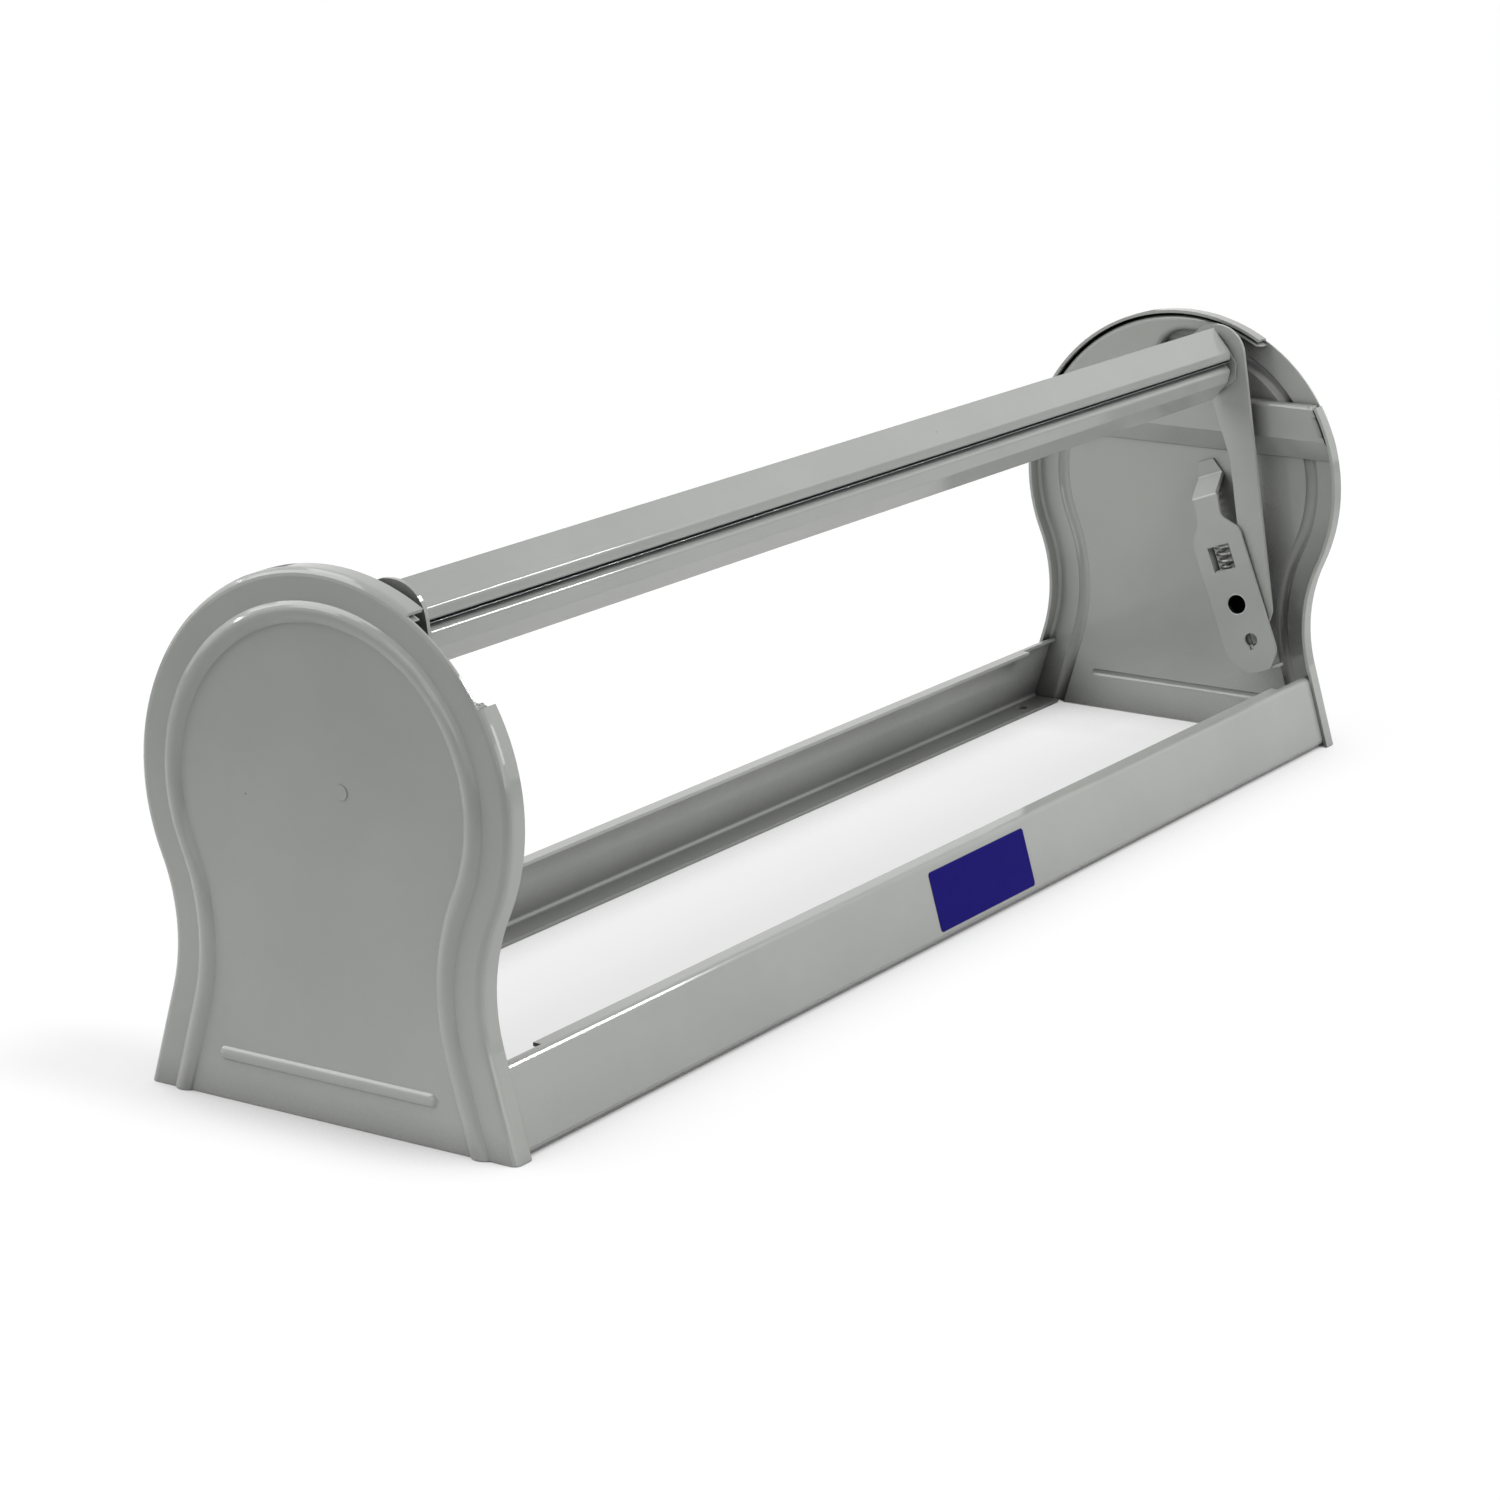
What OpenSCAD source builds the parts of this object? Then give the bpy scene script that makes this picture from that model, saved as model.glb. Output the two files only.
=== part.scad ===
// Counter-top dispenser and cutter for a wide paper roll. Two pressed end plates stand on two
// bent rails. A spring-loaded pair of arms carries a cutter bar that rides on the roll.
// X runs along the roll, the front faces -Y, Z is up, and the origin is at the middle of the base.

/* [Roll and stand] */
// Widest roll that fits between the arms
roll_w = 610; // [300:1:920]
// Room on each side between the roll and the outside of an end plate
side_space = 39.2; // [34:0.1:48]
// Sheet thickness of the plates, rails and brackets
sheet_t = 1.5; // [1.2:0.1:2]

/* [End plates] */
// Radius of the round head of an end plate
head_r = 84.4; // [80:0.1:92]
// Height of the middle of the head
head_z = 124.2; // [122:0.1:130]
// Radius of the hollow waist
waist_r = 73.94; // [70:0.02:80]
// Height of the narrowest part of the waist
waist_z = 60.36; // [57:0.02:63]
// Slope of the straight sides below the waist, as the sine of their lean
side_slope = 0.28; // [0.26:0.01:0.3]
// Depth of the flange turned in along the edge of an end plate
flange_d = 9.3; // [8:0.1:10]
// Outside radius of the bend between a plate and its flange
bend_r = 3; // [2.5:0.1:4]
// Distance from the edge to the middle of the pressed bead
bead_in = 15.9; // [14:0.1:18]
// Height that the pressed bead stands out
bead_h = 2; // [1:0.1:2.5]
// Length of the straight bead near the base
foot_bead_l = 101; // [60:1:104]

/* [Roll shaft slots] */
// Diameter of the roll shaft that the slots take
slot_d = 31.4; // [26:0.1:33]
// Height of the ledge that the shaft rolls along
ledge_z = 167.6; // [165:0.1:168]
// Gap between the flange of an end plate and the guide nested inside it
guide_gap = 1.1; // [1.1:0.1:1.5]
// Distance from the outside of an end plate to the near face of its guide
guide_w = 8.4; // [8:0.1:9]

/* [Rails] */
// Height of the rails
rail_h = 33.2; // [30:0.1:34]
// Width of the lip along the top of a rail
rail_lip = 7.3; // [6:0.1:9]
// Width of the flange along the bottom of a rail
rail_foot = 16; // [14:0.1:18]
// Diameter of the four mounting holes
mount_hole_d = 6.5; // [5:0.1:7]
// Distance from a mounting hole to the outside of the end plate
mount_hole_in = 29.2; // [27:0.1:40]

/* [Arms and cutter] */
// Thickness of an arm
arm_t = 2; // [1.8:0.1:2.2]
// Diameter of the pivot tube where an arm turns on it
pivot_d = 12; // [10:0.1:13]
// Height of the pivot
pivot_z = 68.3; // [67:0.1:69]
// Distance from the middle of the stand to the pivot, towards the front
pivot_y = 39.3; // [38.8:0.1:39.8]
// Thickness of the cutter blade
blade_t = 0.9; // [0.7:0.1:1]
// Diameter of the rivets through the bars and the blade
rivet_d = 4; // [3:0.1:4.5]
// Number of rivets along the bars
rivet_count = 6; // [4:1:10]

/* [Springs] */
// Diameter of the spring wire
wire_d = 1.8; // [1:0.1:1.9]
// Diameter of a spring, measured at the middle of the wire
coil_d = 6.8; // [6:0.1:7]
// Number of turns in a spring
coil_turns = 10; // [6:1:10]

/* [Clearances] */
// Radial gap between an arm and the pivot tube
pivot_fit = 0.06; // [0.03:0.01:0.1]
// Radial gap around a rivet or a fixed spigot
rivet_fit = 0.05; // [0.02:0.01:0.1]
// Gap between a rail and the flange that covers its end
rail_fit = 0.05; // [0.02:0.01:0.1]
// Gap between the edge of a shaft guide and the face of its end plate
guide_fit = 0.1; // [0.1:0.01:0.2]

/* [Hidden] */
$fn = 96;

enamel = [0.62, 0.63, 0.61];
enamel_dark = [0.55, 0.56, 0.55];
bare_steel = [0.72, 0.74, 0.76];
sticker_blue = [0.13, 0.12, 0.42];

// Half of the width over the end plates, and a length longer than any part
half_w = roll_w / 2 + side_space;
long = 400;

// The waist arc touches the head arc. The straight flare runs from the waist to the base.
waist_y = sqrt(pow(head_r + waist_r, 2) - pow(head_z - waist_z, 2));
neck_angle = atan2(head_z - waist_z, waist_y);
flare = asin(side_slope);
flare_top = [waist_y - waist_r * cos(flare), waist_z - waist_r * side_slope];
base_half = flare_top[0] + flare_top[1] * tan(flare);

// Opening in the flange where the roll shaft goes in, as angles round the head
gap_top_angle = 90 + 29.4;
gap_low_angle = 180 - asin((ledge_z - head_z) / head_r);

// Planes of the parts beside an end plate, measured inward from its outside face
arm_w = 16;
washer_t = 0.8;
washer_gap = 0.05;
bracket_w = arm_w + arm_t + washer_t + 2 * washer_gap;
tube_shoulder_w = arm_w - washer_t - 2 * washer_gap;
bar_end_w = arm_w + arm_t + 2 * sheet_t;

// The shaft slot has a full round end behind the middle of the head
slot_r = slot_d / 2;
slot_y = -0.7;
slot_z = ledge_z + slot_r;
guide_r = head_r - sheet_t - guide_gap;
guide_foot_z = 151;
guide_band_drop = 10;
rim_cut_z = 194.3;

// The pivot bracket leans back. Its own axes run up along it (s) and rearward across it (t).
lean = 21;
bracket_half = 13.6;
bracket_foot = -35;
window_s = [17.8, 30.3];
window_t = [-5.5, 6.5];
joggle_s = [55, 63.7];
tab_end_s = 71.5;
neck_t = [-7.4, 6.2];
weld_t = 6.3;
weld_s = 66;
weld_r = 3;
weld_out = 0.3;

// At rest the lobe of each arm lies against the stop tab of its bracket
stop_t = -1.6;
stop_s = [-23.4, -20.4];
stop_gap = 0.05;

// The spring hangs from a shelf on the bracket and pulls on an ear of the arm
spring_w = 11;
spring_t = 3.1;
spring_foot_s = 16.7;
spring_top_s = 57.2;

// Steps in a short bend, in a long curve, and in one curl of a spring
bend_steps = 4;
curve_steps = 10;
curl_rings = 8;
wire_sides = 6;

function unit(v) = v / norm(v);
function turn_left(v) = [-v[1], v[0]];
function reversed(list) = [for (i = [len(list) - 1 : -1 : 0]) list[i]];
function on_circle(centre, r, angle) = centre + r * [cos(angle), sin(angle)];

// Points round an arc, with both ends
function arc(centre, r, from, to, steps) =
    [for (i = [0 : steps]) on_circle(centre, r, from + (to - from) * i / steps)];

// Points of an arc of radius r that rounds the corner b between a and c
function corner(a, b, c, r, steps) =
    r == 0 ? [b] :
    let (u = unit(a - b), v = unit(c - b),
         half = acos(u * v) / 2,
         centre = b + unit(u + v) * r / sin(half),
         first = b + u * r / tan(half) - centre,
         last = b + v * r / tan(half) - centre,
         from = atan2(first[1], first[0]),
         raw = atan2(last[1], last[0]) - from,
         sweep = raw > 180 ? raw - 360 : raw < -180 ? raw + 360 : raw)
    arc(centre, r, from, from + sweep, steps);

// An open path with its inner corners rounded
function soft_path(p, r, steps = bend_steps) =
    concat([p[0]],
           [for (i = [1 : len(p) - 2]) each corner(p[i - 1], p[i], p[i + 1], r, steps)],
           [p[len(p) - 1]]);

// A closed outline, given as [y, z, radius] for each corner
function soft_outline(c, steps = curve_steps) =
    [for (i = [0 : len(c) - 1])
        let (a = c[(i + len(c) - 1) % len(c)], b = c[i], d = c[(i + 1) % len(c)])
        each corner([a[0], a[1]], [b[0], b[1]], [d[0], d[1]], b[2], steps)];

// A path moved sideways by d, with mitred corners
function beside(p, d) =
    [for (i = [0 : len(p) - 1])
        let (before = i == 0 ? p[1] - p[0] : p[i] - p[i - 1],
             after = i == len(p) - 1 ? p[i] - p[i - 1] : p[i + 1] - p[i],
             n = turn_left(unit(before)),
             m = unit(n + turn_left(unit(after))))
        p[i] + m * d / (m * n)];

// Cross-section of a sheet of thickness t bent along a path
module bent_sheet(path, t) {
    polygon(concat(beside(path, t / 2), reversed(beside(path, -t / 2))));
}

// Outline of an end plate, moved in by d, with the rear half first. The arcs stop short of the
// places where they touch, so that no corner falls on a joint of the swept edge.
arc_rest = 2;
function plate_half(d) = concat(
    [[base_half - d / cos(flare), 0]],
    arc([waist_y, waist_z], waist_r + d, 180 + flare - arc_rest, 180 - neck_angle + arc_rest,
        curve_steps),
    arc([0, head_z], head_r - d, arc_rest - neck_angle, 90, 3 * curve_steps));
function mirrored(p) = [for (i = [len(p) - 2 : -1 : 0]) [-p[i][0], p[i][1]]];
function plate_outline(d) = concat(plate_half(d), mirrored(plate_half(d)));

// Puts a shape drawn as [y, z, inward] on the left end of the stand, or mirrored on the right
module on_side(side) {
    mirror([side == "right" ? 1 : 0, 0, 0])
        translate([-half_w, 0, 0])
            rotate([90, 0, 90])
                children();
}

// Puts a shape drawn in the bracket's axes [across, along, inward] at the pivot
module at_pivot() {
    translate([-pivot_y, pivot_z, 0])
        rotate([0, 0, -lean])
            children();
}

// Position in [y, z] of a point given in the bracket's axes
function from_pivot(t, s) = [-pivot_y + t * cos(lean) + s * sin(lean),
                             pivot_z - t * sin(lean) + s * cos(lean)];

// Section of the edge of an end plate, as [distance in from the edge, distance inward].
// The pressed bead is a lens outside and a groove of the same shape inside.
bead_half = 4;
bead_r = (pow(bead_half, 2) + pow(bead_h, 2)) / (2 * bead_h);
bead_mid = [bead_in, bead_r - bead_h];
groove_r = bead_r - sheet_t;
bead_angle = acos(bead_half / bead_r);
groove_angle = asin((bead_mid[1] - sheet_t) / groove_r);
strip_in = bead_in + bead_half + 2;
strip_outside = concat(
    arc(bead_mid, bead_r, 180 + bead_angle, 360 - bead_angle, curve_steps),
    [[strip_in, 0], [strip_in, sheet_t]],
    arc(bead_mid, groove_r, 360 - groove_angle, 180 + groove_angle, curve_steps));
flanged_edge = concat(
    [[0, flange_d]],
    arc([bend_r, bend_r], bend_r, 180, 270, bend_steps),
    strip_outside,
    arc([bend_r, bend_r], bend_r - sheet_t, 270, 180, bend_steps),
    [[sheet_t, flange_d]]);

// Sweeps a section round a whole circle, with distance 0 at the edge of the plate
module round_head() {
    translate([0, head_z, 0])
        rotate_extrude($fn = 180)
            translate([head_r, 0])
                mirror([1, 0])
                    children();
}
module round_waist() {
    translate([waist_y, waist_z, 0])
        rotate_extrude($fn = 180)
            translate([waist_r, 0])
                children();
}

// The wedge between the neck line and the top of the flare, which holds the waist's arc
module waist_wedge() {
    reach = 200;
    linear_extrude(long, center = true)
        polygon([[waist_y, waist_z], [0, head_z],
                 [waist_y - reach * cos(flare), waist_z - reach * side_slope]]);
}

// The swept edge of a plate: the head, and on each side the waist and the flare
module swept_edge() {
    difference() {
        round_head() children();
        waist_wedge();
        mirror([1, 0, 0]) waist_wedge();
    }
    for (m = [0, 1])
        mirror([m, 0, 0]) {
            intersection() {
                round_waist() children();
                waist_wedge();
            }
            translate([flare_top[0], flare_top[1], 0])
                rotate([90, 0, 180 + flare])
                    mirror([0, 0, 1])
                        linear_extrude(flare_top[1] / cos(flare) + strip_in)
                            children();
        }
}

// The piece of flange left out where the roll shaft goes in
module shaft_gap() {
    edge = head_r - sheet_t;
    foot = head_r - bend_r;
    outside = head_r + 1;
    reach = 1.5 * head_r;
    intersection() {
        translate([0, head_z, 0])
            rotate_extrude($fn = 180)
                polygon([[edge, -1], [outside, -1], [outside, flange_d + 1],
                         [foot, flange_d + 1], [foot, sheet_t], [edge, sheet_t]]);
        linear_extrude(long, center = true)
            polygon([[0, head_z], on_circle([0, head_z], reach, gap_top_angle),
                     on_circle([0, head_z], reach, gap_low_angle)]);
    }
}

// A straight bead with round ends, raised outside and hollow inside
foot_bead_z = 18;
foot_bead_half = 2.7;
foot_bead_h = 1.3;
foot_bead_r = (pow(foot_bead_half, 2) + pow(foot_bead_h, 2)) / (2 * foot_bead_h);
module lens_bar(r, low) {
    module half_lens() {
        intersection() {
            translate([0, foot_bead_r - foot_bead_h]) circle(r);
            translate([0, -bead_r]) square([bead_r, bead_r + low]);
        }
    }
    reach = foot_bead_l / 2 - foot_bead_half;
    for (turn = [0, 180])
        rotate([0, 0, turn])
            translate([reach, 0, 0])
                rotate([0, 0, -90])
                    rotate_extrude(angle = 180)
                        half_lens();
    translate([-reach, 0, 0])
        rotate([90, 0, 90])
            linear_extrude(2 * reach) {
                half_lens();
                mirror([1, 0]) half_lens();
            }
}

module end_plate(side) {
    weld = from_pivot(weld_t, weld_s);
    color(enamel)
        on_side(side)
            difference() {
                union() {
                    linear_extrude(sheet_t) polygon(plate_outline(strip_in - 1));
                    swept_edge() polygon(flanged_edge);
                    translate([0, foot_bead_z, 0]) lens_bar(foot_bead_r, sheet_t / 2);
                    translate([weld[0], weld[1], -weld_out]) cylinder(r = weld_r, h = sheet_t);
                }
                shaft_gap();
                translate([0, foot_bead_z, 0]) lens_bar(foot_bead_r - sheet_t, sheet_t + 1);
                translate([-long / 2, -long, -long / 2]) cube(long);
            }
}

// A shallow pan nested in the head, with a slot whose lower edge is a ledge for the roll shaft
pan_r = 2.5;
slot_top_l = 20;
guide_foot_w = sheet_t + guide_fit;
pan_edge = concat(
    [[0, guide_foot_w]],
    arc([pan_r, guide_w - pan_r], pan_r, 180, 90, bend_steps),
    [[2 * pan_r, guide_w], [2 * pan_r, guide_w - sheet_t]],
    arc([pan_r, guide_w - pan_r], pan_r - sheet_t, 90, 180, bend_steps),
    [[sheet_t, guide_foot_w]]);
module shaft_guide(side) {
    band = [[guide_w - sheet_t / 2, guide_foot_z + 2], [guide_w - sheet_t / 2, guide_foot_z],
            [guide_foot_w, guide_foot_z - guide_band_drop]];
    color(enamel_dark)
        on_side(side)
            intersection() {
                translate([0, head_z, guide_foot_w]) cylinder(r = guide_r, h = long, $fn = 180);
                union() {
                    difference() {
                        intersection() {
                            union() {
                                translate([0, head_z, guide_w - sheet_t])
                                    cylinder(r = guide_r - 1.5 * pan_r, h = sheet_t, $fn = 180);
                                translate([0, head_z, 0])
                                    rotate_extrude($fn = 180)
                                        translate([guide_r, 0]) mirror([1, 0]) polygon(pan_edge);
                            }
                            translate([-long / 2, guide_foot_z, 0]) cube(long);
                        }
                        intersection() {
                            union() {
                                slot_space(slot_r, guide_w - sheet_t - 1);
                                difference() {
                                    slot_space(slot_r + 1.5 * pan_r, guide_w - sheet_t - 1);
                                    translate([slot_y - slot_top_l - long, slot_z, 0]) cube(long);
                                }
                            }
                            translate([0, head_z, 0])
                                cylinder(r = guide_r - sheet_t, h = long, $fn = 180);
                        }
                        translate([-long, ledge_z, 0])
                            cube([long - slot_r, rim_cut_z - ledge_z, long]);
                    }
                    translate([slot_y, slot_z, 0]) {
                        rotate([0, 0, -90])
                            rotate_extrude(angle = 180)
                                translate([slot_r, 0]) polygon(pan_edge);
                        rotate([90, 0, -90])
                            linear_extrude(long)
                                translate([slot_r, 0]) polygon(pan_edge);
                        mirror([0, 1, 0])
                            rotate([90, 0, -90])
                                linear_extrude(slot_top_l)
                                    translate([slot_r, 0]) polygon(pan_edge);
                    }
                    translate([long / 2, 0, 0])
                        rotate([0, -90, 0])
                            linear_extrude(long) bent_sheet(band, sheet_t);
                }
            }
}

// The space of a slot with a round end at the rear, from inward distance w on
module slot_space(r, w) {
    translate([slot_y, slot_z, w]) cylinder(r = r, h = long);
    translate([slot_y - long, slot_z - r, w]) cube([long, 2 * r, long]);
}

// Distance from the middle to the outside of a rail's sloped wall at the base
rail_base = base_half - (sheet_t + rail_fit) / cos(flare);
function wall_y(z) = rail_base - z * tan(flare);

// Distance in to the end of the lip, and the middle of the flat part of the foot
rail_notch_in = 36.5;
rail_bend_r = 2;
mount_hole_shift = 0.6;
mount_hole_y = wall_y(0) - rail_foot / 2 - mount_hole_shift;

module rail(front) {
    mid = sheet_t / 2;
    wall = mid / cos(flare);
    path = soft_path([[wall_y(0) - rail_foot, mid], [wall_y(mid) - wall, mid],
                      [wall_y(rail_h - mid) - wall, rail_h - mid],
                      [wall_y(rail_h) - rail_lip, rail_h - mid]], rail_bend_r);
    notch_x = half_w - rail_notch_in;
    hole_x = half_w - mount_hole_in;
    color(enamel)
        mirror([0, front ? 1 : 0, 0])
            difference() {
                translate([bend_r - half_w, 0, 0])
                    rotate([90, 0, 90])
                        linear_extrude(2 * (half_w - bend_r)) bent_sheet(path, sheet_t);
                for (x = [-1, 1]) {
                    translate([x * hole_x, mount_hole_y, -1])
                        cylinder(d = mount_hole_d, h = 2 * sheet_t);
                    translate([x * (notch_x + long / 2) - long / 2, 0, rail_h / 2])
                        cube([long, wall_y(rail_h) - rail_lip / 2, rail_h]);
                }
            }
}

// Side view of an arm, as [y, z, corner radius]: round head, slim neck, wide foot and stop lobe
lobe_t = stop_t + sheet_t + stop_gap;
lobe_s = [-28, -13];
lobe_foot = from_pivot(lobe_t, lobe_s[0]);
lobe_top = from_pivot(lobe_t, lobe_s[1]);
arm_corners = [
    [-35.4, 205, 15], [-6.5, 205, 14], [-8, 184, 9], [-16.2, 181, 5], [-32, 139.8, 25],
    [-40.5, 86, 3], [-26.2, 80.5, 1.5], [-30.6, 54, 8], [-33.6, 40.2, 4],
    [lobe_foot[0], lobe_foot[1], 4], [lobe_top[0], lobe_top[1], 2], [-54, 55.5, 8],
    [-57.2, 66.5, 8]];

module arm(side) {
    ear_w = coil_d + wire_d + 1;
    ear_near = spring_w - ear_w / 2;
    color(enamel)
        on_side(side) {
            difference() {
                translate([0, 0, arm_w]) linear_extrude(arm_t) polygon(soft_outline(arm_corners));
                translate([-pivot_y, pivot_z, 0]) cylinder(r = pivot_d / 2 + pivot_fit, h = long);
            }
            at_pivot()
                translate([spring_t - ear_w / 2, spring_foot_s - sheet_t, ear_near])
                    cube([ear_w, sheet_t, arm_w + arm_t / 2 - ear_near]);
        }
}

// Sections of the two bars, as centre lines in [y, z]. Their inner flanges clamp the blade. The
// upper bar turns up and back over the roll, and the lower one turns down and back.
seam_z = 187.8;
seam_y = -19;
fold_r = 1;
upper_front_y = -31.2;
upper_turns = [[-30.7, 192.9], [-21.7, 203.3]];
lower_front_y = -28.2;
lower_turns = [[-31.3, 183.6], [-30, 178], [-22.6, 169]];
clamp = (blade_t + sheet_t) / 2;
upper_path = soft_path(concat(
    [[seam_y, seam_z + clamp], [upper_front_y, seam_z + clamp]], upper_turns), fold_r);
lower_path = soft_path(concat(
    [[seam_y, seam_z - clamp], [lower_front_y, seam_z - clamp]], lower_turns), fold_r);

// The blade, and the rivets through the flanges
blade_front = -32.6;
blade_end = 1;
bevel_l = 2;
edge_t = 0.15;
rivet_y = -23.5;
rivet_in = 30;
rivet_span = 2 * (half_w - bar_end_w - rivet_in);
rivet_hole_l = 20;
rivet_head_h = 1.2;
rivet_rim = 1.5;
rivet_crown = 0.7;

module along_bar(path, t) {
    translate([bar_end_w - half_w, 0, 0])
        rotate([90, 0, 90])
            linear_extrude(2 * (half_w - bar_end_w)) bent_sheet(path, t);
}

module at_rivets() {
    for (i = [0 : rivet_count - 1])
        translate([rivet_span * (i / (rivet_count - 1) - 0.5), rivet_y, seam_z])
            children();
}

module rivet_holes() {
    at_rivets() cylinder(d = rivet_d + 2 * rivet_fit, h = rivet_hole_l, center = true);
}

module upper_cutter_bar() {
    color(enamel)
        difference() {
            along_bar(upper_path, sheet_t);
            rivet_holes();
        }
}

module lower_cutter_bar() {
    color(enamel)
        difference() {
            along_bar(lower_path, sheet_t);
            rivet_holes();
        }
}

// A steel strip with its front edge ground to a bevel
module cutter_blade() {
    half_t = blade_t / 2;
    section = [[seam_y, seam_z - half_t], [blade_front + bevel_l, seam_z - half_t],
               [blade_front, seam_z + half_t - edge_t], [blade_front, seam_z + half_t],
               [seam_y, seam_z + half_t]];
    color(bare_steel)
        difference() {
            translate([bar_end_w + blade_end - half_w, 0, 0])
                rotate([90, 0, 90])
                    linear_extrude(2 * (half_w - bar_end_w - blade_end)) polygon(section);
            rivet_holes();
        }
}

module bar_rivets() {
    grip = blade_t / 2 + sheet_t;
    rivet_r = rivet_d / 2;
    color(bare_steel)
        at_rivets() {
            cylinder(d = rivet_d, h = 2 * grip, center = true);
            for (m = [0, 1])
                mirror([0, 0, m])
                    translate([0, 0, grip])
                        cylinder(r1 = rivet_r + rivet_rim, r2 = rivet_r + rivet_crown,
                                 h = rivet_head_h);
        }
}

// A pad welded to the arm, with a tongue that lies under the sloped top of the upper bar. The
// outline of the pad is given as [y, z, corner radius], between the two ends of its sloped edge.
pad_l = 11;
pad_turns = [[-34, 187, 1], [-34, 178.5, 1], [-24, 172, 2], [-12, 176, 3], [-12, 190, 3]];
pad_end_r = 1;
tongue_l = 14;
tongue_in = 1.5;
module bar_clip(side) {
    slope_foot = upper_path[len(upper_path) - 2];
    slope_top = upper_path[len(upper_path) - 1];
    run = unit(slope_top - slope_foot);
    under = [run[1], -run[0]];
    pad_foot = slope_foot + under * sheet_t / 2;
    pad_top = pad_foot + run * pad_l;
    tongue_foot = slope_foot + under * sheet_t;
    pad_corners = concat([[pad_foot[0], pad_foot[1], pad_end_r]], pad_turns,
                         [[pad_top[0], pad_top[1], pad_end_r]]);
    tongue = [tongue_foot + run * tongue_in, tongue_foot + run * (pad_l - tongue_in)];
    color(enamel_dark)
        on_side(side)
            translate([0, 0, arm_w + arm_t]) {
                linear_extrude(sheet_t) polygon(soft_outline(pad_corners, bend_steps));
                linear_extrude(tongue_l) bent_sheet(tongue, sheet_t);
            }
}

// A bracket that stands off the end plate. The joggled tab at its top is welded to the plate. A
// window shows the spring. The spade-shaped hole is where the stop tab is folded out. Outlines
// are given as [across, along, corner radius].
tab_start_s = joggle_s[0] - 2;
body_corners = [
    [neck_t[0], joggle_s[0], 0], [-5.8, 44, 5], [-bracket_half, 36, 6],
    [-bracket_half, -27, 9], [-7.5, bracket_foot, 3], [4, bracket_foot, 7],
    [bracket_half, -26, 12], [bracket_half, 35, 8], [7.4, 43, 4], [neck_t[1], joggle_s[0], 0]];
tab_corners = [
    [neck_t[0], tab_start_s, 0], [-4.8, 63.2, 3], [-1.8, tab_end_s, 1],
    [7.3, tab_end_s, 1.5], [9.2, 64.5, 4], [neck_t[1], tab_start_s, 0]];
joggle_r = 1.6;
guard_w = 5;
lip_w = 4;
lip_t = [-12.2, 3.3];
spade = [-1.8, -18.7];
spade_r = 3.4;
tab_gap = 0.2;
module pivot_bracket(side) {
    middle = bracket_w + sheet_t / 2;
    tab_w = 1.5 * sheet_t;
    step_path = soft_path([[tab_start_s, middle], [joggle_s[0], middle],
                           [joggle_s[1], tab_w], [tab_end_s, tab_w]], joggle_r);
    joggle_slope = (tab_w - middle) / (joggle_s[1] - joggle_s[0]);
    function joggle_w(s) = middle + joggle_slope * (s - joggle_s[0]);
    shelf_top = joggle_w(spring_top_s + sheet_t / 2);
    window = [window_t[1] - window_t[0], window_s[1] - window_s[0]];
    shelf_w = coil_d + wire_d + 1;
    color(enamel)
        on_side(side)
            at_pivot() {
                difference() {
                    translate([0, 0, bracket_w])
                        linear_extrude(sheet_t) polygon(soft_outline(body_corners));
                    translate([window_t[0], window_s[0], 0]) cube([window[0], window[1], long]);
                    cylinder(r = spigot_r + rivet_fit, h = long);
                    translate([spade[0], spade[1], 0]) cylinder(r = spade_r, h = long);
                    translate([stop_t - tab_gap, stop_s[0], 0])
                        cube([sheet_t + 2 * tab_gap, spade[1] - stop_s[0], long]);
                }
                intersection() {
                    translate([-long / 2, 0, 0])
                        rotate([90, 0, 90])
                            linear_extrude(long) bent_sheet(step_path, sheet_t);
                    linear_extrude(long) polygon(soft_outline(tab_corners));
                }
                translate([window_t[1], window_s[0] + 0.5, bracket_w - guard_w])
                    cube([sheet_t, window[1] - 1, guard_w + sheet_t / 2]);
                translate([stop_t, stop_s[0] - sheet_t / 2, arm_w - 0.5])
                    cube([sheet_t, stop_s[1] - stop_s[0], middle - arm_w + 0.5]);
                translate([spring_t - shelf_w / 2, spring_top_s, spring_w - shelf_w / 2])
                    cube([shelf_w, sheet_t, shelf_top - spring_w + shelf_w / 2]);
                translate([lip_t[0], bracket_foot, middle - lip_w])
                    cube([lip_t[1] - lip_t[0], sheet_t, lip_w]);
            }
}
spigot_step = 0.7;
spigot_r = pivot_d / 2 - spigot_step;
spigot_wall = 0.5;
tube_shoulder = 1.5;
washer_rim = 3;

// A hollow post from the end plate through the arm, with a spigot in the bracket
module pivot_tube(side) {
    color(bare_steel)
        on_side(side)
            translate([-pivot_y, pivot_z, 0])
                difference() {
                    union() {
                        translate([0, 0, sheet_t])
                            cylinder(r = pivot_d / 2 + tube_shoulder, h = tube_shoulder_w - sheet_t);
                        translate([0, 0, sheet_t]) cylinder(d = pivot_d, h = bracket_w - sheet_t);
                        translate([0, 0, sheet_t]) cylinder(r = spigot_r, h = bracket_w);
                    }
                    cylinder(r = spigot_r - spigot_wall, h = long);
                }
}

// One washer on each side of each arm
module pivot_washers() {
    color(bare_steel)
        for (side = ["left", "right"], w = [tube_shoulder_w + washer_gap, arm_w + arm_t + washer_gap])
            on_side(side)
                translate([-pivot_y, pivot_z, w])
                    difference() {
                        cylinder(r = pivot_d / 2 + washer_rim, h = washer_t);
                        translate([0, 0, -1])
                            cylinder(r = pivot_d / 2 + pivot_fit, h = washer_t + 2);
                    }
}

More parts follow.
